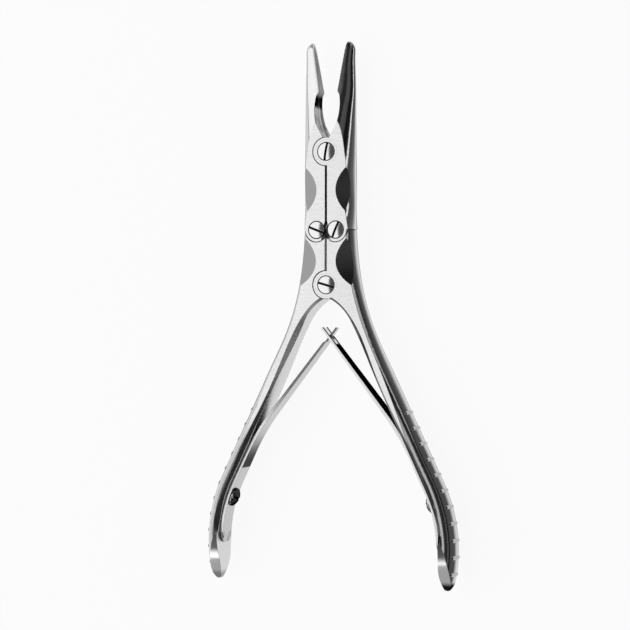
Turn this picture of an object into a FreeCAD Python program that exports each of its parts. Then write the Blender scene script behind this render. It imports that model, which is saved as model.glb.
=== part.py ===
import FreeCAD, Part
import math
import os

# Double-action bone rongeur, lying flat with its jaws open.
# X is across the instrument, Y along it with the jaw tips at +Y, and Z up,
# with Z = 0 under the grips. Sizes are in millimetres, angles in degrees.

# Layout along the instrument, from the tips down
overall_length = 180.0
jaw_reach = 36.5
link_drop = 25.9
pivot_drop = 18.2

# Body halves, their lap joints and the seam between them
body_thickness = 8.6
body_half_width = 8.85
side_bulge = 1.85
seam_gap = 0.75
lap_gap = 0.1
boss_radius = 4.6
boss_clearance = 0.25
tongue_radius = 3.9
tongue_clearance = 0.25
link_offset = 3.4
shoulder_gap = 0.3

# Jaws
jaw_open_angle = 9.5
edge_clearance = 0.05
cutting_length = 16.5
nose_depth = 5.6
nose_tip_depth = 3.45
nose_width = 5.4
nose_tip_width = 3.8
tip_rounding = 5.0
neck_length = 23.8
cup_rim = 0.55
cup_depth = 3.4
cup_end_wall = 0.9
cup_runout = 5.5
heel_step = 0.7
heel_slope = 1.2
throat_hollow = 0.55
throat_foot_x = 3.75
throat_foot_height = 9.5
crotch_extra_angle = 4.0

# Handles. An edge angle is the slope of the side where it meets the flat front.
handle_lean = 26.0
shoulder_bend = 91.0
shank_length = 48.4
grip_bend = 49.8
bend_above_link = 0.8
handle_thickness = 4.9
grip_width = 11.6
grip_bulge = 3.8
body_edge_angle = 46.6
grip_edge_angle = 85.0
handle_chamfer = 1.1
crotch_chamfer = 0.75
crotch_radius = 16.0
crotch_drop = 4.3
end_length = 16.0
end_taper = 8.0
end_tip_width = 1.0
end_rounding = 4.0
end_inset = 1.5
end_thickness = 0.9

# Scallops ground into the front and back edges of the body halves
scallop_reach = 3.6
scallop_length = 14.5
scallop_tilt = 18.0
jaw_scallop_above_link = 13.2
handle_scallop_below_link = 10.6

# Ribs across the grips
rib_count = 11
rib_pitch = 5.56
rib_width = 1.55
rib_height = 0.58
rib_end_height = 0.15
rib_length = 7.2
last_rib_to_end = 6.0

# Pivot and link screws
pivot_head_radius = 2.86
link_head_radius = 2.72
head_thickness = 1.5
head_dome = 0.35
head_clearance = 0.1
shank_radius = 1.6
running_clearance = 0.06
open_link_clearance = 0.2
thread_clearance = 0.02
slot_width = 0.75
slot_depth = 0.9
screw_end_inset = 0.1
jaw_pivot_slot_angle = 80.0
left_link_slot_angle = -20.0
right_link_slot_angle = 66.0
handle_pivot_slot_angle = -15.0

# Leaf springs
leaf_root_thickness = 1.1
leaf_tip_thickness = 0.7
leaf_root_width = 6.8
leaf_tip_width = 4.4
leaf_seat_gap = 0.05
leaf_lift_radius = 75.0
leaf_lift = 11.3
leaf_tail = 16.0
leaf_tip_drop = 14.0
leaf_tip_cross = 2.1
tongue_tip_width = 1.8
tongue_tip_length = 4.8
fork_gap = 2.5
fork_depth = 5.6
spring_screw_drop = 71.3
spring_head_radius = 3.1
spring_head_rim = 0.5
spring_head_dome = 1.3
spring_shank_radius = 1.4
spring_shank_depth = 3.4
spring_head_gap = 0.13
leaf_hole_clearance = 0.15
spring_slot_angle = 35.0

# Places worked out from the sizes above
half_thickness = body_thickness / 2
jaw_pivot_y = overall_length / 2 - jaw_reach
link_y = jaw_pivot_y - link_drop
handle_pivot_y = link_y - pivot_drop
seam_x = seam_gap / 2
bend_y = link_y + bend_above_link
grip_half = grip_width / 2
lift = grip_half
reach_z = 3 * body_thickness
lean = math.radians(handle_lean)
open_angle = math.radians(jaw_open_angle)
far = overall_length


def vec(x, y, z=0.0):
    return FreeCAD.Vector(x, y, z)


def line(a, b):
    return Part.makeLine(a, b)


def arc(a, mid, b):
    return Part.Arc(a, mid, b).toShape()


def prism(edges, z_low, z_high):
    # an upright solid on a closed plan outline
    face = Part.Face(Part.Wire(edges))
    face.translate(vec(0, 0, z_low))
    return face.extrude(vec(0, 0, z_high - z_low))


def disc(x, y, radius, z_low, z_high):
    return Part.makeCylinder(radius, z_high - z_low, vec(x, y, z_low))


def block(x0, x1, y0, y1, z0, z1):
    return Part.makeBox(x1 - x0, y1 - y0, z1 - z0, vec(x0, y0, z0))


def mirrored(shape):
    return shape.mirror(vec(0, 0), vec(1, 0))


# The outer edge of a handle in plan: straight beside the body, a bend outwards,
# a straight shank, and a bend back along the grip
bend_length = shoulder_bend * lean
shank_start = vec(
    body_half_width + shoulder_bend * (1 - math.cos(lean)),
    bend_y - shoulder_bend * math.sin(lean),
)
shank_end = shank_start + vec(math.sin(lean), -math.cos(lean)) * shank_length
grip_centre = shank_end - vec(math.cos(lean), math.sin(lean)) * grip_bend
grip_start = bend_length + shank_length
end_angle = math.asin((overall_length / 2 + grip_centre.y) / (grip_bend - end_inset))
path_length = grip_start + grip_bend * (lean + end_angle)


def outer_path(s):
    # the point, direction of travel and inward normal at distance s along the edge
    if s <= 0:
        point = vec(body_half_width, bend_y - s)
        angle = 0.0
    elif s <= bend_length:
        angle = s / shoulder_bend
        point = vec(
            body_half_width + shoulder_bend * (1 - math.cos(angle)),
            bend_y - shoulder_bend * math.sin(angle),
        )
    elif s <= grip_start:
        angle = lean
        point = shank_start + vec(math.sin(lean), -math.cos(lean)) * (s - bend_length)
    else:
        angle = lean - (s - grip_start) / grip_bend
        point = grip_centre + vec(math.cos(angle), math.sin(angle)) * grip_bend
    along = vec(math.sin(angle), -math.cos(angle))
    inward = vec(-math.cos(angle), -math.sin(angle))
    return point, along, inward


def side_ellipse(half_width, bulge, edge_angle):
    # the ellipse of a bulged side that meets the flats at the edge angle:
    # its two half axes and the angle, from the outermost point, at which it is cut
    ratio = bulge / (half_width * math.tan(math.radians(edge_angle)) - bulge)
    cut = math.acos(ratio)
    return bulge / (1 - ratio), half_width / math.sin(cut), cut


def handle_section(s, half_width, bulge, edge_angle, inset):
    # flat front and back joined by a bulged outer side, open to the inside
    point, along, inward = outer_path(s)
    across, upright, cut = side_ellipse(half_width, bulge, edge_angle)
    shoulder = point + inward * (inset + bulge)
    side = []
    for index in range(9):
        angle = cut * (1 - index / 4)
        out = across * (math.cos(angle) - math.cos(cut))
        side.append(shoulder - inward * out + vec(0, 0, upright * math.sin(angle)))
    curve = Part.BSplineCurve()
    curve.interpolate(Points=side, Parameters=list(range(9)))
    up = vec(0, 0, half_width)
    inner = point + inward * (body_half_width + 4.0)
    return Part.Wire([
        line(inner - up, inner + up),
        line(inner + up, side[0]),
        curve.toShape(),
        line(side[-1], inner - up),
    ])


def handle_stations():
    # distance along the outer edge, half width in Z, bulge and edge angle of the side
    body = (half_thickness, side_bulge, body_edge_angle)
    grip = (grip_half, grip_bulge, grip_edge_angle)
    body_top = bend_above_link - tongue_radius - 3.0
    stations = [
        (body_top, *body),
        (0.0, *body),
        (0.5 * bend_length, *body),
        (0.92 * bend_length, *body),
    ]
    for share, widened, rounded in ((0.14, 0.4, 0.05), (0.41, 0.7, 0.4), (0.68, 1.0, 0.8)):
        half_width = half_thickness + widened * (grip_half - half_thickness)
        bulge = side_bulge + rounded * (grip_bulge - side_bulge)
        edge_angle = body_edge_angle + rounded * (grip_edge_angle - body_edge_angle)
        stations.append((bend_length + share * shank_length, half_width, bulge, edge_angle))
    for share in (0.88, 1.0):
        stations.append((bend_length + share * shank_length, *grip))
    return stations


def handle_form():
    # the forged outer shape: body and shank, the grip turned about its centre, the rounded end
    shank = Part.makeLoft([handle_section(*station, 0.0) for station in handle_stations()], True, False)
    section = Part.Face(handle_section(*handle_stations()[-1], 0.0))
    turn = (path_length - end_rounding - grip_start) / grip_bend
    grip = section.revolve(grip_centre, vec(0, 0, 1), -math.degrees(turn))
    sections = []
    for share in (0.0, 0.3, 0.6, 0.82, 0.95, 1.0):
        inset = end_inset * (1 - math.sqrt(1 - 0.97 * share * share))
        s = path_length - end_rounding * (1 - share)
        sections.append(handle_section(s, grip_half, grip_bulge - inset, grip_edge_angle, inset))
    end = Part.makeLoft(sections, True, False)
    return shank.fuse([grip, end])


def end_tool():
    # the outline of the grip's end seen along X, narrowing to a point
    full = grip_half + 0.5
    tip = end_tip_width / 2
    foot = -overall_length / 2
    top = foot + end_length
    middle = grip_half - fall_at_half(end_length, grip_half - tip)
    right = [vec(0, foot, tip), vec(0, foot + end_length / 2, middle), vec(0, top, grip_half)]
    right += [vec(0, top, full), vec(0, far, full)]
    left = [vec(0, p.y, -p.z) for p in right]
    edges = [line(left[0], right[0]), line(right[4], left[4])]
    for side in (right, left):
        edges += [arc(side[0], side[1], side[2]), line(side[2], side[3]), line(side[3], side[4])]
    face = Part.Face(Part.Wire(Part.sortEdges(edges)[0]))
    return face.extrude(vec(far, 0))


def inner_path(s, depth):
    point, along, inward = outer_path(s)
    return point + inward * depth


def crotch_tangent(depth, radius, through):
    # the arc of the given radius that touches the shank's inner line and passes
    # through a point on the seam: its touching point and its centre
    start = inner_path(bend_length, depth)
    down = vec(math.sin(lean), -math.cos(lean))
    inward = vec(-math.cos(lean), -math.sin(lean))
    offset = start + inward * radius - through
    along = offset.dot(down)
    travel = -along + math.sqrt(along * along - offset.dot(offset) + radius * radius)
    touch = start + down * travel
    return touch, touch + inward * radius


def fall_at_half(length, fall):
    # how far an arc that starts straight has fallen half way to its end
    radius = (length ** 2 + fall ** 2) / (2 * fall)
    return radius - math.sqrt(radius ** 2 - length ** 2 / 4)


def arc_middle(centre, a, b):
    # the point half way round the shorter arc from a to b
    out = (a - centre) + (b - centre)
    out.normalize()
    return centre + out * (a - centre).Length


def handle_outline():
    # plan of the right handle: seam, crotch, inner face and a wide outer border
    top = link_y + tongue_radius + 2.0
    seam_foot = vec(seam_x, handle_pivot_y - crotch_drop)
    touch, centre = crotch_tangent(handle_thickness, crotch_radius, seam_foot)
    inner_shank_end = inner_path(grip_start, handle_thickness)
    grip_foot = inner_path(path_length - end_taper, handle_thickness)
    grip_middle = arc_middle(grip_centre, inner_shank_end, grip_foot)
    tip_depth = end_inset + end_thickness
    tip = inner_path(path_length, tip_depth)
    taper_fall = fall_at_half(end_taper, handle_thickness - tip_depth)
    tip_middle = inner_path(path_length - end_taper / 2, handle_thickness - taper_fall)
    beyond = inner_path(path_length + 2.0, tip_depth)
    corner_low = vec(far, beyond.y)
    corner_high = vec(far, top)
    return [
        line(vec(seam_x, top), seam_foot),
        arc(seam_foot, arc_middle(centre, seam_foot, touch), touch),
        line(touch, inner_shank_end),
        arc(inner_shank_end, grip_middle, grip_foot),
        arc(grip_foot, tip_middle, tip),
        line(tip, beyond),
        line(beyond, corner_low),
        line(corner_low, corner_high),
        line(corner_high, vec(seam_x, top)),
    ]


def scallop(x_edge, y, turn, front):
    # a large shallow cutter laid across one edge, tilted down towards the side
    tilt = math.radians(scallop_tilt)
    depth = scallop_reach * math.sin(tilt)
    radius = ((scallop_length / 2) ** 2 + depth * depth) / (2 * depth)
    axis = vec(math.cos(tilt), 0, -math.sin(tilt))
    away = vec(math.sin(tilt), 0, math.cos(tilt))
    start = vec(x_edge - scallop_reach, 0, half_thickness) + away * radius - axis * 2 * scallop_length
    tool = Part.makeCylinder(radius, 4 * scallop_length, start, axis)
    tool.translate(vec(-x_edge, 0))
    tool.rotate(vec(0, 0), vec(0, 0, 1), turn)
    tool.translate(vec(x_edge, y))
    if not front:
        tool = tool.mirror(vec(0, 0), vec(0, 0, 1))
    return tool


def rib():
    # a bar rounded along and across, drawn at the origin with the grip's side facing +X
    half = rib_width / 2
    reach = rib_length / 2
    across, upright, cut = side_ellipse(grip_half, grip_bulge, grip_edge_angle)
    fall = across * (1 - math.sqrt(1 - (reach / upright) ** 2)) + rib_height - rib_end_height
    crown = (reach * reach + fall * fall) / (2 * fall)
    axis_x = rib_height - crown
    sunk = -0.1
    profile = Part.Wire([
        line(vec(-half, -half), vec(sunk, -half)),
        arc(vec(sunk, -half), vec(rib_height, 0), vec(sunk, half)),
        line(vec(sunk, half), vec(-half, half)),
        line(vec(-half, half), vec(-half, -half)),
    ])
    sweep = 2.4 * math.degrees(math.asin(reach / crown))
    ring = Part.Face(profile)
    ring.rotate(vec(axis_x, 0), vec(0, 1), -sweep / 2)
    ring = ring.revolve(vec(axis_x, 0), vec(0, 1), sweep)
    straight = reach - half
    stadium = Part.Wire([
        line(vec(0, -half, -straight), vec(0, -half, straight)),
        arc(vec(0, -half, straight), vec(0, 0, reach), vec(0, half, straight)),
        line(vec(0, half, straight), vec(0, half, -straight)),
        arc(vec(0, half, -straight), vec(0, 0, -reach), vec(0, -half, -straight)),
    ])
    bar = Part.Face(stadium)
    bar.translate(vec(-far, 0))
    return ring.common(bar.extrude(vec(2 * far, 0)))


def placed(shape, s):
    # a copy set on the handle's outer edge at distance s, its +X side facing out
    point, along, inward = outer_path(s)
    copy = shape.copy()
    copy.rotate(vec(0, 0), vec(0, 0, 1), math.degrees(math.atan2(along.x, -along.y)))
    copy.translate(point)
    return copy


def boss_joint(shape, y, lap_in_front):
    # a half lap round a pivot: one disc stands over the seam, one pocket takes the other's disc
    low, high = -half_thickness, half_thickness
    gap = lap_gap / 2
    own = (gap, high) if lap_in_front else (low, -gap)
    other = (-gap, reach_z) if not lap_in_front else (-reach_z, gap)
    shape = shape.cut(disc(0, y, boss_radius + boss_clearance, other[0], other[1]))
    return shape.fuse(disc(0, y, boss_radius, own[0], own[1]))


def pivot_holes(shape, x, y, head_radius, in_front, radial):
    # a front lap has a running hole and a counterbore, a back lap a threaded hole
    if in_front:
        shape = shape.cut(disc(x, y, shank_radius + radial, -reach_z, reach_z))
        floor = half_thickness - head_thickness
        return shape.cut(disc(x, y, head_radius + head_clearance, floor, reach_z))
    return shape.cut(disc(x, y, shank_radius + thread_clearance, -reach_z, reach_z))


def handle(lap_in_front):
    shape = handle_form().common(prism(handle_outline(), -grip_half, grip_half)).common(end_tool())
    for front in (True, False):
        shape = shape.cut(bevel_tool(front))
    # link joint: a tongue at the back reaches up under the jaw, the front makes room for the jaw's tongue
    top = link_y + 4 * tongue_radius
    shoulder = link_y - shoulder_gap / 2
    gap = lap_gap / 2
    above = block(-1, far, shoulder, top, -gap, reach_z)
    shape = shape.cut(above)
    shape = shape.cut(disc(link_offset, link_y, tongue_radius + tongue_clearance, -gap, reach_z))
    behind = block(-1, far, shoulder, top, -reach_z, reach_z)
    tongue = disc(link_offset, link_y, tongue_radius, -reach_z, reach_z)
    shape = shape.cut(behind.cut(tongue))
    shape = boss_joint(shape, handle_pivot_y, lap_in_front)
    shape = pivot_holes(shape, 0, handle_pivot_y, pivot_head_radius, lap_in_front, running_clearance)
    shape = shape.cut(disc(link_offset, link_y, shank_radius + thread_clearance, -reach_z, reach_z))
    # scallops follow the lean of the side where they are cut
    point, along, inward = outer_path(handle_scallop_below_link + bend_above_link)
    turn = math.degrees(math.atan2(along.x, -along.y))
    edge = point + inward * side_bulge
    for front in (True, False):
        shape = shape.cut(scallop(edge.x, edge.y, turn, front))
    # spring screw hole, square to the inner face
    seat, normal = spring_seat()
    bottom = seat - normal * (spring_shank_depth + screw_end_inset)
    hole_radius = spring_shank_radius + thread_clearance
    shape = shape.cut(Part.makeCylinder(hole_radius, 2 * spring_shank_depth, bottom, normal))
    bar = rib()
    last = path_length - last_rib_to_end
    return shape.fuse([placed(bar, last - index * rib_pitch) for index in range(rib_count)])


def inner_edge():
    # places along the crotch, the shank and the grip on the inner face of the right handle,
    # each with the normal that points away from the handle and the size of the bevel there
    seam_foot = vec(seam_x, handle_pivot_y - crotch_drop)
    touch, centre = crotch_tangent(handle_thickness, crotch_radius, seam_foot)
    first = math.atan2(seam_foot.y - centre.y, seam_foot.x - centre.x)
    last = math.atan2(touch.y - centre.y, touch.x - centre.x)
    places = []
    for share in (-0.12, 0.15, 0.4, 0.7):
        angle = first + share * (last - first)
        out = vec(math.cos(angle), math.sin(angle))
        size = crotch_chamfer + max(share, 0.0) * (handle_chamfer - crotch_chamfer)
        places.append((centre + out * crotch_radius, out * -1, size))
    down = outer_path(grip_start)[1]
    reached = grip_start - (inner_path(grip_start, handle_thickness) - touch).dot(down)
    for share in (0.05, 0.3, 0.6, 0.95):
        s = reached + share * (grip_start - reached)
        places.append((inner_path(s, handle_thickness), outer_path(s)[2], handle_chamfer))
    for share in (0.15, 0.5, 1.05):
        s = grip_start + share * (path_length - grip_start)
        places.append((inner_path(s, handle_thickness), outer_path(s)[2], handle_chamfer))
    return places


def half_width_at(y):
    # half width in Z of the handle at a height in plan, between its stations
    heights = [(outer_path(station[0])[0].y, station[1]) for station in handle_stations()]
    for (high, upper), (low, lower) in zip(heights, heights[1:]):
        if y >= low:
            return upper + (high - min(y, high)) / (high - low) * (lower - upper)
    return grip_half


def bevel_tool(front):
    # a three-sided bar along one inner edge, from the seam to the end of the grip
    sections = []
    over = 1.5
    for corner, away, size in inner_edge():
        half_width = half_width_at(corner.y)
        drop = size + over
        heights = [half_width - drop, half_width + over, half_width + over]
        if not front:
            heights = [-height for height in heights]
        low = corner + away * over + vec(0, 0, heights[0])
        high = corner - away * drop + vec(0, 0, heights[1])
        outside = corner + away * over + vec(0, 0, heights[2])
        sections.append(Part.Wire([line(low, high), line(high, outside), line(outside, low)]))
    return Part.makeLoft(sections, True, False)


def spring_seat():
    # the point on the inner face under the spring screw, and the inward normal there
    y = handle_pivot_y - spring_screw_drop
    radius = grip_bend - handle_thickness
    angle = math.asin((y - grip_centre.y) / radius)
    out = vec(math.cos(angle), math.sin(angle))
    return grip_centre + out * radius, out * -1


# Heights on the jaw are counted from the jaw pivot. The cutting edges lie on a line
# through the pivot, so that they meet when the jaws close.
heel_height = jaw_reach - cutting_length
nose_straight = jaw_reach - tip_rounding


def cut_x(height):
    # the closing plane of the right jaw, at a height above the jaw pivot
    return max(height, 0.0) * math.tan(open_angle)


def half_ellipse(height, depth, half_width):
    # a section that is flat on the closing plane and rounded outwards
    centre = vec(cut_x(height), jaw_pivot_y + height)
    up = vec(0, 0, half_width)
    ellipse = Part.Ellipse(centre + vec(depth, 0), centre + up, centre)
    side = Part.ArcOfEllipse(ellipse, -math.pi / 2, math.pi / 2).toShape()
    return Part.Wire([side, line(centre + up, centre - up)])


def nose_sizes(height):
    # depth and half width of the nose between the heel and the start of the tip
    share = (height - heel_height) / (nose_straight - heel_height)
    depth = nose_depth + share * (nose_tip_depth - nose_depth)
    width = nose_width + share * (nose_tip_width - nose_width)
    return depth, width / 2


def jaw_form():
    # the rounded outer shape: constant beside the body, tapering up the neck and nose
    flat = 1 - side_bulge / body_half_width
    body_half = half_thickness / math.sqrt(1 - flat * flat)
    neck_foot = heel_height - neck_length
    body_foot = -(link_drop + tongue_radius + 3.0)
    heel_depth, heel_half = nose_sizes(heel_height)
    heel_outer = cut_x(heel_height) + heel_depth
    sections = []
    for share in (0.0, 0.4, 0.75, 1.0):
        height = body_foot + share * (neck_foot - body_foot)
        sections.append(half_ellipse(height, body_half_width, body_half))
    for share in (0.2, 0.4, 0.6, 0.8):
        height = neck_foot + share * neck_length
        outer = body_half_width + share * (heel_outer - body_half_width)
        half_width = body_half + share * (heel_half - body_half)
        sections.append(half_ellipse(height, outer - cut_x(height), half_width))
    for share in (0.0, 0.5, 1.0):
        height = heel_height + share * (nose_straight - heel_height)
        sections.append(half_ellipse(height, *nose_sizes(height)))
    depth, half_width = nose_sizes(nose_straight)
    for share in (0.45, 0.75, 0.92, 1.0):
        k = math.sqrt(1.02 - share * share)
        sections.append(half_ellipse(nose_straight + share * tip_rounding, depth * k, half_width * k))
    return Part.makeLoft(sections, True, False)


def cup():
    # the hollow of the nose, running out behind the heel and closed by a wall at the tip
    heel_half = nose_sizes(heel_height)[1] - cup_rim
    end = jaw_reach - cup_end_wall
    start = heel_height - cup_runout
    plan = [(start, 0.3), (start + 0.3 * cup_runout, 0.85), (heel_height - 0.3 * cup_runout, 1.0)]
    plan += [(heel_height + 0.2 * cutting_length, 1.0), (nose_straight - 2.0, 1.0)]
    plan += [(end - 0.45 * tip_rounding, 0.8), (end - 0.15 * tip_rounding, 0.5), (end, 0.12)]
    sections = []
    for height, share in plan:
        half_width = nose_sizes(max(height, heel_height))[1] - cup_rim
        sections.append(half_ellipse(height, share * cup_depth * half_width / heel_half, share * half_width))
    return Part.makeLoft(sections, True, False)


def jaw_outline():
    # plan of the right jaw: closing edge, step behind the heel, throat, crotch, seam
    height = jaw_pivot_y
    clear = edge_clearance / math.cos(open_angle)
    top = jaw_reach + 2.0
    foot = link_y - tongue_radius - 2.0
    nose_top = vec(cut_x(top) + clear, height + top)
    heel = vec(cut_x(heel_height) + clear, height + heel_height)
    throat_top = heel + vec(heel_step, -heel_slope)
    throat_foot = vec(throat_foot_x, height + throat_foot_height)
    throat_middle = (throat_top + throat_foot) * 0.5 + vec(throat_hollow, 0)
    crotch_angle = open_angle + math.radians(crotch_extra_angle)
    crotch = vec(boss_radius * math.sin(crotch_angle), height + boss_radius * math.cos(crotch_angle))
    seam_top = vec(seam_x, height + boss_radius / 2)
    seam_foot = vec(seam_x, foot)
    corner_low = vec(far, foot)
    corner_high = vec(far, height + top)
    return [
        line(nose_top, heel),
        line(heel, throat_top),
        arc(throat_top, throat_middle, throat_foot),
        line(throat_foot, crotch),
        line(crotch, seam_top),
        line(seam_top, seam_foot),
        line(seam_foot, corner_low),
        line(corner_low, corner_high),
        line(corner_high, nose_top),
    ]


def jaw(lap_in_front, link_radial):
    shape = jaw_form().common(prism(jaw_outline(), -half_thickness, half_thickness))
    shape = shape.cut(cup())
    # link joint: a tongue at the front reaches down over the handle, the back makes room for the handle's
    foot = link_y - 4 * tongue_radius
    shoulder = link_y + shoulder_gap / 2
    gap = lap_gap / 2
    below = block(-1, far, foot, shoulder, -reach_z, gap)
    shape = shape.cut(below)
    shape = shape.cut(disc(link_offset, link_y, tongue_radius + tongue_clearance, -reach_z, gap))
    in_front = block(-1, far, foot, shoulder, -reach_z, reach_z)
    tongue = disc(link_offset, link_y, tongue_radius, -reach_z, reach_z)
    shape = shape.cut(in_front.cut(tongue))
    shape = boss_joint(shape, jaw_pivot_y, lap_in_front)
    shape = pivot_holes(shape, 0, jaw_pivot_y, pivot_head_radius, lap_in_front, running_clearance)
    shape = pivot_holes(shape, link_offset, link_y, link_head_radius, True, link_radial)
    edge = body_half_width - side_bulge
    for front in (True, False):
        shape = shape.cut(scallop(edge, link_y + jaw_scallop_above_link, 0, front))
    return shape


def domed_head(radius, rim, dome):
    # a head standing on Z = 0, with its slot along X
    ball = (radius * radius + dome * dome) / (2 * dome)
    quarter = vec(radius / 2, 0, rim + dome - ball + math.sqrt(ball * ball - radius * radius / 4))
    profile = Part.Wire([
        line(vec(0, 0), vec(radius, 0)),
        line(vec(radius, 0), vec(radius, 0, rim)),
        arc(vec(radius, 0, rim), quarter, vec(0, 0, rim + dome)),
        line(vec(0, 0, rim + dome), vec(0, 0)),
    ])
    head = Part.Face(profile).revolve(vec(0, 0), vec(0, 0, 1), 360)
    top = rim + dome
    slot = block(-2 * radius, 2 * radius, -slot_width / 2, slot_width / 2, top - slot_depth, top + 1)
    return head.cut(slot)


def pivot_screw(x, y, head_radius, slot_angle):
    # head in the counterbore of the front lap, shank down to the back face
    floor = half_thickness - head_thickness + lap_gap / 2
    foot = -half_thickness + screw_end_inset
    head = domed_head(head_radius, half_thickness - floor, head_dome)
    head.rotate(vec(0, 0), vec(0, 0, 1), slot_angle)
    head.translate(vec(x, y, floor))
    return head.fuse(disc(x, y, shank_radius, foot, floor + 0.2))


def spring_screw():
    # a domed screw square to the grip, through the leaf and into the handle
    seat, normal = spring_seat()
    head_base = leaf_seat_gap + leaf_root_thickness + spring_head_gap
    screw = domed_head(spring_head_radius, spring_head_rim, spring_head_dome)
    screw.translate(vec(0, 0, head_base))
    screw = screw.fuse(disc(0, 0, spring_shank_radius, -spring_shank_depth, head_base + 0.2))
    screw.rotate(vec(0, 0), vec(0, 0, 1), spring_slot_angle)
    screw.Placement = FreeCAD.Placement(seat, FreeCAD.Rotation(vec(0, 0, 1), normal)).multiply(screw.Placement)
    return screw


def tangent_point(centre, radius, tip):
    # where a straight leaf end from the tip touches its bending circle
    towards = tip - centre
    turn = -math.acos(radius / towards.Length)
    direction = math.atan2(towards.y, towards.x) + turn
    return centre + vec(math.cos(direction), math.sin(direction)) * radius


def leaf_side(depth, radius, centre, tip):
    # one long side of the right leaf in plan, from its tail to its tip
    grip_radius = grip_bend - depth
    seat = spring_seat()[0] - grip_centre
    tail_angle = math.atan2(seat.y, seat.x) - leaf_tail / seat.Length
    tail = grip_centre + vec(math.cos(tail_angle), math.sin(tail_angle)) * grip_radius
    shank_foot = inner_path(grip_start, depth)
    lift_off = inner_path(grip_start - leaf_lift, depth)
    touch = tangent_point(centre, radius, tip)
    return tail, [
        arc(tail, arc_middle(grip_centre, tail, shank_foot), shank_foot),
        line(shank_foot, lift_off),
        arc(lift_off, arc_middle(centre, lift_off, touch), touch),
        line(touch, tip),
    ]


def leaf(forked):
    # a tapered strip that lies on the grip, lifts off the shank and crosses the centre line
    outer_depth = handle_thickness + leaf_seat_gap
    lift_off = inner_path(grip_start - leaf_lift, outer_depth)
    inward = vec(-math.cos(lean), -math.sin(lean))
    centre = lift_off + inward * leaf_lift_radius
    tip_y = handle_pivot_y - leaf_tip_drop
    outer_tip = vec(-leaf_tip_cross, tip_y)
    touch = tangent_point(centre, leaf_lift_radius, outer_tip)
    normal = centre - touch
    normal.normalize()
    inner_tip = outer_tip + normal * leaf_tip_thickness
    inner_radius = leaf_lift_radius - leaf_root_thickness
    outer_tail, outer = leaf_side(outer_depth, leaf_lift_radius, centre, outer_tip)
    inner_tail, inner = leaf_side(outer_depth + leaf_root_thickness, inner_radius, centre, inner_tip)
    outline = outer + [line(outer_tip, inner_tip)] + inner + [line(inner_tail, outer_tail)]
    strip = prism(Part.sortEdges(outline)[0], -leaf_root_width, leaf_root_width)
    strip = strip.common(leaf_width_tool(outer_tail.y, tip_y, forked))
    seat, across = spring_seat()
    radius = spring_shank_radius + leaf_hole_clearance
    return strip.cut(Part.makeCylinder(radius, 4 * leaf_root_thickness, seat - across, across))


def leaf_width_tool(tail_y, tip_y, forked):
    # the leaf's outline seen along X: round tail, parallel root, long taper, tongue or fork
    root = leaf_root_width / 2
    tip = leaf_tip_width / 2
    taper_foot = spring_seat()[0].y + leaf_root_width
    shoulder = tip_y - tongue_tip_length
    end = tip_y + 1.0
    tail = vec(0, tail_y, 0)
    right = [vec(0, tail_y + root, root), vec(0, taper_foot, root), vec(0, shoulder, tip)]
    if forked:
        right += [vec(0, end, tip)]
    else:
        right += [vec(0, shoulder, tongue_tip_width / 2), vec(0, end, tongue_tip_width / 2)]
    left = [vec(0, p.y, -p.z) for p in reversed(right)]
    edges = [arc(left[-1], tail, right[0])]
    edges += [line(a, b) for a, b in zip(right, right[1:])]
    edges += [line(right[-1], left[0])]
    edges += [line(a, b) for a, b in zip(left, left[1:])]
    tool = Part.Face(Part.Wire(edges))
    tool.translate(vec(-far, 0))
    tool = tool.extrude(vec(2 * far, 0))
    if forked:
        tool = tool.cut(block(-far, far, tip_y - fork_depth, end + 1, -fork_gap / 2, fork_gap / 2))
    return tool


def parts():
    # every node at its place, right-hand pieces as drawn and left-hand ones mirrored
    return {
        "left_jaw": mirrored(jaw(False, running_clearance)),
        "right_jaw": jaw(True, open_link_clearance),
        "left_handle": mirrored(handle(False)),
        "right_handle": handle(True),
        "jaw_pivot_screw": pivot_screw(0, jaw_pivot_y, pivot_head_radius, jaw_pivot_slot_angle),
        "left_link_screw": pivot_screw(-link_offset, link_y, link_head_radius, left_link_slot_angle),
        "right_link_screw": pivot_screw(link_offset, link_y, link_head_radius, right_link_slot_angle),
        "handle_pivot_screw": pivot_screw(0, handle_pivot_y, pivot_head_radius, handle_pivot_slot_angle),
        "left_spring": mirrored(leaf(False)),
        "right_spring": leaf(True),
        "left_spring_screw": mirrored(spring_screw()),
        "right_spring_screw": spring_screw(),
    }


os.makedirs("parts", exist_ok=True)
for node, shape in parts().items():
    shape.translate(vec(0, 0, lift))
    shape.exportStep("parts/" + node + ".step")
    box = shape.BoundBox
    print(node, len(shape.Solids), shape.isValid(), round(shape.Volume, 1), box)
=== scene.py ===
import math

import bmesh
import bpy
from mathutils import Matrix, Vector


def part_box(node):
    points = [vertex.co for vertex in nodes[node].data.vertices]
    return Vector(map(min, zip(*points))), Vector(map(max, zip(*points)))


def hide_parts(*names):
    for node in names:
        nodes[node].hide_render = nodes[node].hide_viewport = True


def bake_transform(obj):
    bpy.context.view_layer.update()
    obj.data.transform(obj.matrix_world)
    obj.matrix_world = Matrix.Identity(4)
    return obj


# Double-action bone rongeur in polished and satin steel, lying on a white table.
# X is across it, Y along it with the jaw tips at +Y, Z up. Sizes are in metres.

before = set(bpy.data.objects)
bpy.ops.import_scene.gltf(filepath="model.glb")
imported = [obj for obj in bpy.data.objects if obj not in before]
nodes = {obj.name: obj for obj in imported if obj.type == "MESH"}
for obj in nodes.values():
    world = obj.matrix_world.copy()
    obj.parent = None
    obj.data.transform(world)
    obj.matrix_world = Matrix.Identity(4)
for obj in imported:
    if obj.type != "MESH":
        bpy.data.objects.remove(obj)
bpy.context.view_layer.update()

MM = 0.001
MID_Z = 5.8 * MM

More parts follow.
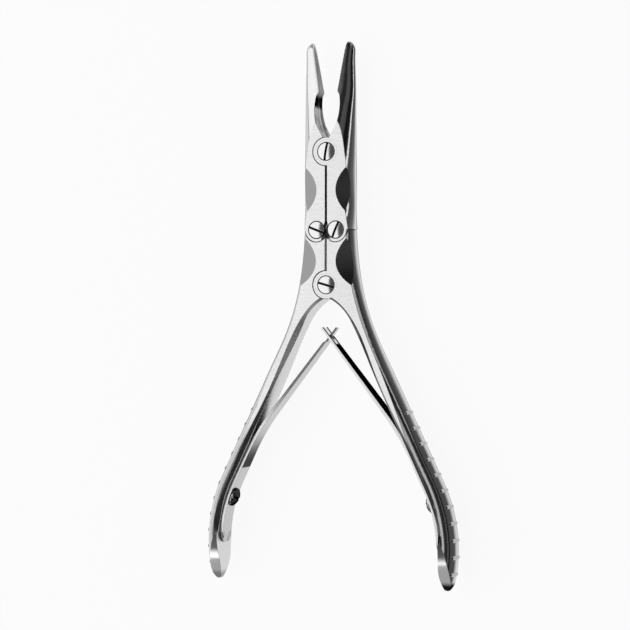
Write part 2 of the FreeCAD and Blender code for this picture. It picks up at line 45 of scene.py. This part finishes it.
# Places of the pivot and link screws, the painted shade rings round their heads and the lathe rings on
# the bosses
JAW_PIVOT_Y = 53.5 * MM
HANDLE_PIVOT_Y = 9.4 * MM
LINK_X = 3.4 * MM
LINK_Y = 27.6 * MM
PIVOT_RING = 3.02 * MM
LINK_RING = 2.90 * MM
LATHE_RING = 3.9 * MM
RING_HALF = 0.20 * MM
LATHE_HALF = 0.10 * MM
LATHE_SHARE = 0.25

# The grip's outer edge in plan: a straight shank, then an arc about GRIP_CENTRE
LEAN = math.radians(26.0)
GRIP_BEND = 49.8 * MM
GRIP_CENTRE = (-5.483 * MM, -76.824 * MM)
LAST_RIB = 30.36 * MM
RIB_COUNT = 11
RIB_PITCH = 5.56 * MM
RIB_HALF = 0.68 * MM
RIB_REACH = 3.1 * MM

# Half the thickness of the body
BODY_HALF = 4.3 * MM

# The number of lengths a leaf is cut into
LEAF_LENGTHS = 60

# Slopes, as the size of the normal's Z part, between which a face counts as flat
FLAT_FROM = 0.975
FLAT_FULL = 0.992

# Tones of the ground faces, the painted shade in the scallops, the ribs painted lighter as highlight,
# the painted shade rings round the screws, the lathe rings and the painted shade in deep corners
SATIN_TONE = 0.70
SCALLOP_SHADE_LEFT = 0.25
SCALLOP_SHADE_RIGHT = 0.10
RIB_HIGHLIGHT_TONE = 0.46
RING_SHADE_TONE = 0.04
LATHE_TONE = 0.2
CORNER_SHADE_TONE = 0.03

# Table: its half width, its drop below the instrument and the share of it that is seen as plain white
TABLE_REACH = 1.6
TABLE_DROP = 0.06 * MM
TABLE_GLOW = 0.92

# Camera: straight above, then turned about the instrument's long axis as in the picture
CAMERA_TURN = math.radians(23.0)
CAMERA_AWAY = 0.640
CAMERA_ASIDE = 5.3 * MM
CAMERA_ALONG = -0.57 * MM


class Nodes:
    """Short calls that add and link the nodes of one node tree."""

    def __init__(self, tree):
        self.tree = tree

    def add(self, kind, inputs=None, **props):
        node = self.tree.nodes.new(kind)
        for key, value in props.items():
            setattr(node, key, value)
        for key, value in (inputs or {}).items():
            if isinstance(value, bpy.types.NodeSocket):
                self.tree.links.new(value, node.inputs[key])
            else:
                node.inputs[key].default_value = value
        return node

    def math(self, operation, a, b=0.0, c=0.0, clamp=False):
        node = self.add("ShaderNodeMath", {0: a, 1: b, 2: c}, operation=operation, use_clamp=clamp)
        return node.outputs[0]

    def ramp(self, value, low, high, to_low=0.0, to_high=1.0):
        node = self.add(
            "ShaderNodeMapRange",
            {"Value": value, "From Min": low, "From Max": high, "To Min": to_low, "To Max": to_high},
            interpolation_type="SMOOTHSTEP",
        )
        return node.outputs["Result"]

    def all_of(self, *masks):
        """The product of several masks."""
        product = masks[0]
        for mask in masks[1:]:
            product = self.math("MULTIPLY", product, mask)
        return product

    def curve(self, value, stops):
        """The straight lines through pairs of value and result, in rising order."""
        node = self.add("ShaderNodeValToRGB", {"Fac": value})
        ramp = node.color_ramp
        ramp.interpolation = "LINEAR"
        while len(ramp.elements) < len(stops):
            ramp.elements.new(0.5)
        for element, stop in zip(ramp.elements, stops):
            element.position = stop[0]
        for element, stop in zip(ramp.elements, stops):
            element.color = (stop[1], stop[1], stop[1], 1.0)
        return node.outputs[0]

    def mix(self, factor, a, b):
        node = self.add("ShaderNodeMix", {0: factor, 2: a, 3: b}, data_type="FLOAT")
        return node.outputs[0]

    def noise(self, vector, scale, detail=2.0, stretch=(1, 1, 1)):
        mapped = self.add("ShaderNodeMapping", {"Vector": vector, "Scale": stretch})
        node = self.add(
            "ShaderNodeTexNoise",
            {"Vector": mapped.outputs[0], "Scale": scale, "Detail": detail, "Roughness": 0.6},
        )
        return node.outputs[0]


class Steel:
    """One steel finish: the measures of the surface first, then the tone and the sheen."""

    def __init__(self, name):
        self.material = bpy.data.materials.new(name)
        self.material.use_nodes = True
        self.material.node_tree.nodes.clear()
        kit = Nodes(self.material.node_tree)
        self.kit = kit
        self.place = kit.add("ShaderNodeTexCoord").outputs["Object"]
        geometry = kit.add("ShaderNodeNewGeometry")
        turned = kit.add(
            "ShaderNodeVectorTransform",
            {"Vector": geometry.outputs["Normal"]},
            vector_type="NORMAL",
            convert_from="WORLD",
            convert_to="OBJECT",
        )
        normal = kit.add("ShaderNodeSeparateXYZ", {0: turned.outputs[0]})
        spot = kit.add("ShaderNodeSeparateXYZ", {0: self.place})
        self.x, self.y, self.z = spot.outputs["X"], spot.outputs["Y"], spot.outputs["Z"]
        self.normal_x = normal.outputs["X"]
        self.normal_y = normal.outputs["Y"]
        self.right = kit.math("GREATER_THAN", self.x, 0.0)
        self.aside = kit.math("ABSOLUTE", self.x)
        self.out = kit.math("MULTIPLY", self.normal_x, kit.math("SIGN", self.x))
        self.flat = kit.math("ABSOLUTE", normal.outputs["Z"])
        self.height = kit.math("ABSOLUTE", kit.math("SUBTRACT", self.z, MID_Z))

    def side_reflections(self, left_stops, right_stops):
        """Painted reflections on the outer sides: tone by slope from the silhouette (0) to the flat
        front (1), unlike left and right as the light falls.
        """
        kit = self.kit
        left = kit.curve(self.flat, left_stops)
        right = kit.curve(self.flat, right_stops)
        return kit.mix(self.right, left, right)

    def ground(self):
        """The flat front and back."""
        return self.kit.ramp(self.flat, FLAT_FROM, FLAT_FULL)

    def scallops(self):
        """The hollows ground into the edges of the body halves."""
        kit = self.kit
        return kit.all_of(
            kit.ramp(self.flat, 0.987, 0.980),
            kit.ramp(self.flat, 0.86, 0.89),
            kit.ramp(self.out, 0.08, 0.14),
            kit.ramp(self.aside, 2.6 * MM, 2.9 * MM),
            kit.ramp(self.y, 6.0 * MM, 7.0 * MM),
            kit.ramp(self.y, 50.5 * MM, 49.5 * MM),
        )

    def with_scallop_shade(self, tone):
        """Painted shade in the hollows, darkest in the right-hand ones, as they turn away from the
        light.
        """
        kit = self.kit
        return kit.mix(self.scallops(), tone, kit.mix(self.right, SCALLOP_SHADE_LEFT, SCALLOP_SHADE_RIGHT))

    def ring(self, x, y, radius, half_width):
        """A thin ring on the front and back faces about a screw."""
        kit = self.kit
        across = kit.math("SUBTRACT", self.x, x)
        rise = kit.math("SUBTRACT", self.y, y)
        square = kit.math("MULTIPLY_ADD", rise, rise, kit.math("MULTIPLY", across, across))
        away = kit.math("ABSOLUTE", kit.math("SUBTRACT", kit.math("SQRT", square), radius))
        on_front = kit.ramp(self.flat, 0.97, 0.99)
        return kit.all_of(kit.ramp(away, half_width, 0.4 * half_width), on_front)

    def screw_rings(self, tone):
        """Painted shade as dark rings round the screw heads, and faint lathe rings on the bosses."""
        kit = self.kit
        for x, y, radius in (
            (0.0, JAW_PIVOT_Y, PIVOT_RING),
            (0.0, HANDLE_PIVOT_Y, PIVOT_RING),
            (-LINK_X, LINK_Y, LINK_RING),
            (LINK_X, LINK_Y, LINK_RING),
        ):
            tone = kit.mix(self.ring(x, y, radius, RING_HALF), tone, RING_SHADE_TONE)
        for y in (JAW_PIVOT_Y, HANDLE_PIVOT_Y):
            faint = kit.math("MULTIPLY", self.ring(0.0, y, LATHE_RING, LATHE_HALF), LATHE_SHARE)
            tone = kit.mix(faint, tone, LATHE_TONE)
        return tone

    def ribs(self):
        """The raised ribs, found by their distance along the grip's outer edge."""
        kit = self.kit
        x = kit.math("SUBTRACT", self.aside, GRIP_CENTRE[0])
        y = kit.math("SUBTRACT", self.y, GRIP_CENTRE[1])
        angle = kit.math("ARCTAN2", y, x)
        round_part = kit.math("MULTIPLY", kit.math("SUBTRACT", LEAN, angle), GRIP_BEND)
        across = kit.math("MULTIPLY", x, math.sin(LEAN))
        straight = kit.math("MULTIPLY_ADD", y, -math.cos(LEAN), across)
        on_shank = kit.math("GREATER_THAN", angle, LEAN)
        travel = kit.mix(on_shank, round_part, straight)
        steps = kit.math("DIVIDE", kit.math("SUBTRACT", LAST_RIB, travel), RIB_PITCH)
        nearest = kit.math("SUBTRACT", steps, kit.math("ROUND", steps))
        away = kit.math("MULTIPLY", kit.math("ABSOLUTE", nearest), RIB_PITCH)
        return kit.all_of(
            kit.ramp(away, RIB_HALF, 0.75 * RIB_HALF),
            kit.ramp(self.height, RIB_REACH, 0.9 * RIB_REACH),
            kit.math("GREATER_THAN", steps, -0.5),
            kit.math("LESS_THAN", steps, RIB_COUNT - 0.5),
            kit.ramp(self.out, 0.1, 0.2),
        )

    def finish(self, tone, satin, polish=0.13, streaks=0.0, shade_reach=0.8 * MM):
        """Grain, mottle, fine scratches and painted shade in corners over a tone.

        satin is the share of ground surface, polish the roughness of the rest, streaks the share of
        lengthwise drawing; the last argument is how far the painted shade in corners reaches.
        """
        kit = self.kit
        grain = kit.noise(self.place, 3400.0, 3.0, (0.10, 1.0, 1.0))
        mottle = kit.noise(self.place, 900.0, 4.0, (0.5, 1.0, 1.0))
        scratch = kit.noise(self.place, 2600.0, 2.0, (1.0, 0.02, 0.6))
        streak = kit.noise(self.place, 560.0, 2.0, (0.8, 0.04, 1.0))
        scratch = kit.ramp(scratch, 0.62, 0.74)

        fine = kit.math("MULTIPLY", kit.math("MULTIPLY_ADD", grain, 0.26, -0.13), satin)
        broad = kit.math("MULTIPLY", kit.math("MULTIPLY_ADD", mottle, 0.12, -0.06), satin)
        shade = kit.math("ADD", kit.math("ADD", tone, fine), broad)
        drawn = kit.math("MULTIPLY", kit.math("MULTIPLY_ADD", streak, 3.2, -1.6), streaks)
        shade = kit.math("ADD", shade, kit.math("MULTIPLY", shade, drawn))
        # Painted shade: corners, creases and slots darkened by ambient occlusion.
        corner_shade = kit.add("ShaderNodeAmbientOcclusion", {"Distance": shade_reach}, samples=8)
        unshaded_share = kit.ramp(corner_shade.outputs["AO"], 0.22, 0.86, CORNER_SHADE_TONE, 1.0)
        shade = kit.math("MULTIPLY", shade, unshaded_share, clamp=True)
        colour = kit.add("ShaderNodeCombineColor", {0: shade, 1: shade, 2: shade})
        # The edge tint follows the tone, painted shade and reflections included.
        rim = kit.ramp(shade, 0.05, 0.45, 0.05, 1.0)
        rim_colour = kit.add("ShaderNodeCombineColor", {0: rim, 1: rim, 2: rim})

        rough = kit.mix(satin, polish, 0.32)
        rough = kit.math("ADD", rough, kit.math("MULTIPLY_ADD", mottle, 0.08, -0.04))
        rough = kit.math("ADD", rough, kit.math("MULTIPLY", scratch, 0.05), clamp=True)

        height = kit.math("MULTIPLY", grain, satin)
        height = kit.math("ADD", height, kit.math("MULTIPLY", scratch, -0.2))
        soft = kit.add("ShaderNodeBevel", {"Radius": 0.20 * MM}, samples=8)
        bump = kit.add(
            "ShaderNodeBump",
            {"Strength": 0.18, "Distance": 0.02 * MM, "Height": height, "Normal": soft.outputs[0]},
        )
        shader = kit.add(
            "ShaderNodeBsdfPrincipled",
            {
                "Base Color": colour.outputs[0],
                "Specular Tint": rim_colour.outputs[0],
                "Metallic": 1.0,
                "Roughness": rough,
                "Normal": bump.outputs[0],
            },
        )
        output = kit.add("ShaderNodeOutputMaterial")
        kit.tree.links.new(shader.outputs[0], output.inputs["Surface"])
        return self.material


def jaw_steel():
    """Satin front and back, polished rounded sides with painted reflections, painted dark shade on the
    drawn faces in the throat and the cups, near black at the heel.
    """
    steel = Steel("jaw_steel")
    kit = steel.kit
    nose = kit.all_of(
        kit.ramp(steel.y, 48.0 * MM, 50.0 * MM),
        kit.ramp(steel.height, BODY_HALF - 0.02 * MM, BODY_HALF - 0.05 * MM),
    )
    satin = steel.ground()
    inside = kit.ramp(steel.out, -0.06, -0.16)
    # Painted reflections: tone of the outer sides by slope, unlike left and right.
    side = steel.side_reflections(
        [(0.0, 0.30), (0.38, 0.10), (0.52, 0.25), (0.66, 0.60), (1.0, 0.66)],
        [(0.0, 0.75), (0.10, 0.50), (0.28, 0.14), (0.54, 0.05), (0.60, 0.50), (1.0, 0.55)],
    )
    tone = kit.mix(satin, side, SATIN_TONE)
    # Painted reflection: a dark band by slope on the right jaw's nose.
    right_nose_reflection = kit.all_of(nose, steel.right, kit.ramp(steel.flat, 0.72, 0.80))
    nose_reflection_tone = kit.curve(steel.flat, [(0.8, 0.25), (0.9, 0.12), (0.97, 0.20), (1.0, 0.10)])
    tone = kit.mix(right_nose_reflection, tone, nose_reflection_tone)
    tone = steel.with_scallop_shade(tone)
    # Painted shade on the inner faces, lighter in the cups and near black at the heel.
    in_cup = kit.ramp(steel.y, 71.0 * MM, 74.5 * MM)
    heel_shade = kit.all_of(
        kit.ramp(steel.y, 67.5 * MM, 69.5 * MM),
        kit.ramp(steel.y, 73.0 * MM, 71.5 * MM),
    )
    inner_shade_tone = kit.mix(in_cup, 0.27, 0.46)
    inner_shade_tone = kit.mix(heel_shade, inner_shade_tone, 0.02)
    tone = kit.mix(inside, tone, inner_shade_tone)
    tone = steel.screw_rings(tone)
    return steel.finish(tone, satin, streaks=inside)


def handle_steel():
    """Satin front, back and inner faces, polished sides and bevels with painted reflections, ribs
    painted lighter than their ground as highlight, a painted highlight on the grip ends and painted
    shade at the tips.
    """
    steel = Steel("handle_steel")
    kit = steel.kit
    grip = kit.ramp(steel.y, -30.0 * MM, -46.0 * MM)
    inwards = kit.ramp(steel.out, -0.1, -0.3)
    inner = kit.all_of(inwards, kit.ramp(steel.flat, 0.3, 0.2))
    bevel = kit.all_of(inwards, kit.ramp(steel.flat, 0.3, 0.4))
    above_grip = kit.math("SUBTRACT", 1.0, grip)
    satin = kit.math("MAXIMUM", kit.math("MULTIPLY", steel.ground(), above_grip), inner)
    # Painted reflections: tone of the outer sides by slope, unlike left and right, first for the body,
    # then for the grips.
    left_reflection_stops = [(0.0, 0.30), (0.38, 0.08), (0.55, 0.25)]
    right_reflection_stops = [(0.0, 0.70), (0.12, 0.45), (0.30, 0.10), (0.55, 0.03)]
    body = steel.side_reflections(
        left_reflection_stops + [(0.70, 0.60), (1.0, 0.66)],
        right_reflection_stops + [(0.60, 0.22), (0.80, 0.30), (1.0, 0.60)],
    )
    left_reflection_stops = [(0.0, 0.30), (0.38, 0.04), (0.50, 0.14), (0.60, 0.64)]
    right_reflection_stops = [(0.0, 0.70), (0.12, 0.45), (0.28, 0.08), (0.70, 0.05)]
    grip_reflections = steel.side_reflections(
        left_reflection_stops + [(0.82, 0.66), (0.93, 0.36), (0.98, 0.10), (1.0, 0.06)],
        right_reflection_stops + [(0.80, 0.90), (0.96, 0.90), (0.985, 0.08), (1.0, 0.05)],
    )
    tone = kit.mix(grip, body, grip_reflections)
    tone = kit.mix(satin, tone, SATIN_TONE)
    # Painted highlight: the ribs lighter than the painted dark ground round them.
    tone = kit.mix(steel.ribs(), tone, RIB_HIGHLIGHT_TONE)
    tone = steel.with_scallop_shade(tone)
    # Painted highlight: the sloped end faces of the grips light.
    end_highlight = kit.all_of(
        kit.ramp(steel.y, -79.0 * MM, -82.0 * MM),
        kit.ramp(steel.flat, 0.6, 0.8),
        kit.ramp(steel.normal_y, -0.1, -0.25),
    )
    tone = kit.mix(end_highlight, tone, 0.85)
    # Painted shade: the grips' tips near black, fully on the right and half on the left.
    tip_shade = kit.math("MULTIPLY", kit.ramp(steel.y, -86.6 * MM, -88.6 * MM), kit.mix(steel.right, 0.5, 1.0))
    tone = kit.mix(tip_shade, tone, 0.02)
    tone = steel.screw_rings(tone)
    upper = kit.math("MULTIPLY", bevel, kit.ramp(steel.y, -40.0 * MM, -14.0 * MM))
    satin = kit.math("MAXIMUM", satin, kit.math("MULTIPLY", upper, 0.9))
    return steel.finish(tone, satin)


def screw_steel():
    """Turned and polished heads, the slots painted black as shade."""
    steel = Steel("screw_steel")
    kit = steel.kit
    # Painted shade: black on the screw below its top face, the slots included.
    slot_shade = kit.all_of(
        kit.ramp(steel.z, 10.10 * MM, 10.02 * MM),
        kit.ramp(steel.z, 7.0 * MM, 7.5 * MM),
    )
    tone = kit.mix(slot_shade, 0.66, 0.01)
    return steel.finish(tone, 0.0, polish=0.12, shade_reach=0.5 * MM)


def dome_steel():
    """The high domed heads of the spring screws, with a painted dark reflection and a painted highlight
    on the upper edge.
    """
    steel = Steel("dome_steel")
    kit = steel.kit
    dark_reflection_stops = [(0.0, 0.10), (0.30, 0.03), (0.62, 0.03)]
    highlight_stops = [(0.72, 0.60), (0.9, 0.60), (1.0, 0.2)]
    tone = kit.curve(steel.flat, dark_reflection_stops + highlight_stops)
    return steel.finish(tone, 0.0, polish=0.14, shade_reach=0.7 * MM)


def leaf_steel(name, way):
    """Spring steel: light on the face that looks inwards, a painted dark reflection on the outer one,
    painted shade along a stretch and painted highlight on the edges.

    way is 1 for the right leaf and -1 for the left one.
    """
    steel = Steel(name)
    kit = steel.kit
    outward = kit.math("MULTIPLY", steel.normal_x, way)
    # Painted reflection: the outer face dark.
    outer = kit.ramp(outward, 0.3, 0.6)
    edge = kit.ramp(steel.flat, 0.6, 0.8)
    # Painted shade: the faces darker between y -36 mm and -52 mm.
    band_shade = kit.all_of(
        kit.ramp(steel.y, -36.0 * MM, -50.0 * MM),
        kit.ramp(steel.y, -52.4 * MM, -51.9 * MM),
    )
    tone = kit.mix(band_shade, 0.54, 0.16)
    tone = kit.mix(outer, tone, 0.02)
    # Painted shade on the left leaf's edges from y -24 mm down; the other edges lighter as painted
    # highlight.
    left_edge_shade = kit.all_of(
        kit.ramp(steel.y, -40.0 * MM, -24.0 * MM),
        kit.math("LESS_THAN", way, 0.0),
    )
    tone = kit.mix(edge, tone, kit.mix(left_edge_shade, 0.60, 0.14))
    return steel.finish(tone, kit.math("MULTIPLY", edge, 0.6), polish=0.16)


def dress(obj, material):
    obj.data.materials.clear()
    obj.data.materials.append(material)


def leaf_piece(node):
    """The leaf spring as a copy of its mesh with cross-sections all along it."""
    mesh = nodes[node].data.copy()
    mesh.name = node + "_leaf"
    piece = bpy.data.objects.new(node + "_leaf", mesh)
    bpy.context.scene.collection.objects.link(piece)
    low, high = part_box(node)
    cut = bmesh.new()
    cut.from_mesh(mesh)
    bmesh.ops.remove_doubles(cut, verts=cut.verts, dist=1e-7)
    for index in range(1, LEAF_LENGTHS):
        y = low.y + (high.y - low.y) * index / LEAF_LENGTHS
        parts = cut.verts[:] + cut.edges[:] + cut.faces[:]
        bmesh.ops.bisect_plane(cut, geom=parts, plane_co=(0, y, 0), plane_no=(0, 1, 0), dist=1e-8)
    cut.to_mesh(mesh)
    cut.free()
    piece.data.update()
    return piece


def aim(obj, place, away):
    """Puts obj at place with its back to away and its upright side along the instrument."""
    upright = Vector((0.0, 1.0, 0.0))
    across = upright.cross(away).normalized()
    turned = Matrix((across, away.cross(across), away)).transposed()
    obj.location = place
    obj.rotation_mode = "QUATERNION"
    obj.rotation_quaternion = turned.to_quaternion()


jaw_finish = jaw_steel()
handle_finish = handle_steel()
screw_finish = screw_steel()
dome_finish = dome_steel()
for side in ("left", "right"):
    dress(nodes[side + "_jaw"], jaw_finish)
    dress(nodes[side + "_handle"], handle_finish)
    dress(nodes[side + "_link_screw"], screw_finish)
    dress(nodes[side + "_spring_screw"], dome_finish)
for name in ("jaw_pivot_screw", "handle_pivot_screw"):
    dress(nodes[name], screw_finish)

for side, other, way in (("left", "right", -1), ("right", "left", 1)):
    finish = leaf_steel(side + "_leaf_steel", way)
    node = side + "_spring"
    dress(nodes[node], finish)
    piece = leaf_piece(node)
    dress(piece, finish)
    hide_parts(node)
    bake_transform(piece)

# The table, matt white, with plain white added where it is looked at or mirrored
floor_mesh = bpy.data.meshes.new("floor")
corners = [(-1, -1), (1, -1), (1, 1), (-1, 1)]
corners = [(x * TABLE_REACH, y * TABLE_REACH, 0.0) for x, y in corners]
floor_mesh.from_pydata(corners, [], [(0, 1, 2, 3)])
floor = bpy.data.objects.new("floor", floor_mesh)
floor.location.z = -TABLE_DROP
bpy.context.scene.collection.objects.link(floor)
paper = bpy.data.materials.new("table_white")
paper.use_nodes = True
paper.node_tree.nodes.clear()
kit = Nodes(paper.node_tree)
path = kit.add("ShaderNodeLightPath")
seen = kit.math("MAXIMUM", path.outputs["Is Camera Ray"], path.outputs["Is Glossy Ray"])
seen = kit.math("MAXIMUM", seen, path.outputs["Is Transmission Ray"])
seen = kit.math("MULTIPLY", seen, TABLE_GLOW)
matt = kit.add("ShaderNodeBsdfDiffuse", {"Color": (0.96, 0.96, 0.96, 1.0)})
glow = kit.add("ShaderNodeEmission", {"Color": (1.0, 1.0, 1.0, 1.0), "Strength": 1.0})
mixed = kit.add("ShaderNodeMixShader", {0: seen, 1: matt.outputs[0], 2: glow.outputs[0]})
output = kit.add("ShaderNodeOutputMaterial")
paper.node_tree.links.new(mixed.outputs[0], output.inputs["Surface"])
floor_mesh.materials.append(paper)


def lamp(name, azimuth, elevation, distance, width, length, level):
    """A soft box that faces the instrument; level is the brightness of its face."""
    data = bpy.data.lights.new(name, "AREA")
    data.shape = "RECTANGLE"
    data.size = width
    data.size_y = length
    data.energy = level * math.pi * width * length
    obj = bpy.data.objects.new(name, data)
    a, e = math.radians(azimuth), math.radians(elevation)
    away = Vector((math.cos(e) * math.cos(a), math.cos(e) * math.sin(a), math.sin(e)))
    aim(obj, Vector((0, 0, MID_Z)) + away * distance, away)
    bpy.context.scene.collection.objects.link(obj)


lamp("softbox_left", 180, 42, 0.62, 0.90, 1.20, 0.95)
lamp("strip_right", 0, 13.5, 0.75, 0.13, 1.2, 1.6)

# The surroundings, graded from left to right
world = bpy.data.worlds.new("studio")
bpy.context.scene.world = world
world.use_nodes = True
world.node_tree.nodes.clear()
kit = Nodes(world.node_tree)
where = kit.add("ShaderNodeTexCoord")
direction = kit.add("ShaderNodeSeparateXYZ", {0: where.outputs["Generated"]})
across = kit.math("MULTIPLY_ADD", direction.outputs["X"], 0.5, 0.5)
level = kit.curve(
    across,
    [(0.35, 0.40), (0.46, 0.10), (0.59, 0.08), (0.66, 0.50), (0.76, 0.50), (0.82, 0.03), (1.0, 0.01)],
)
sky = kit.add("ShaderNodeBackground", {"Color": (1.0, 1.0, 1.0, 1.0), "Strength": level})
output = kit.add("ShaderNodeOutputWorld")
world.node_tree.links.new(sky.outputs[0], output.inputs["Surface"])

side_way = Vector((math.cos(CAMERA_TURN), 0.0, -math.sin(CAMERA_TURN)))
toward = Vector((math.sin(CAMERA_TURN), 0.0, math.cos(CAMERA_TURN)))
target = Vector((0.0, CAMERA_ALONG, MID_Z)) - side_way * CAMERA_ASIDE
camera_data = bpy.data.cameras.new("camera")
camera_data.sensor_width = 36.0
camera_data.lens = 110.0
camera_data.clip_start = 0.05
camera = bpy.data.objects.new("camera", camera_data)
aim(camera, target + toward * CAMERA_AWAY, toward)
bpy.context.scene.collection.objects.link(camera)
bpy.context.scene.camera = camera

bpy.context.scene.view_settings.view_transform = "Standard"
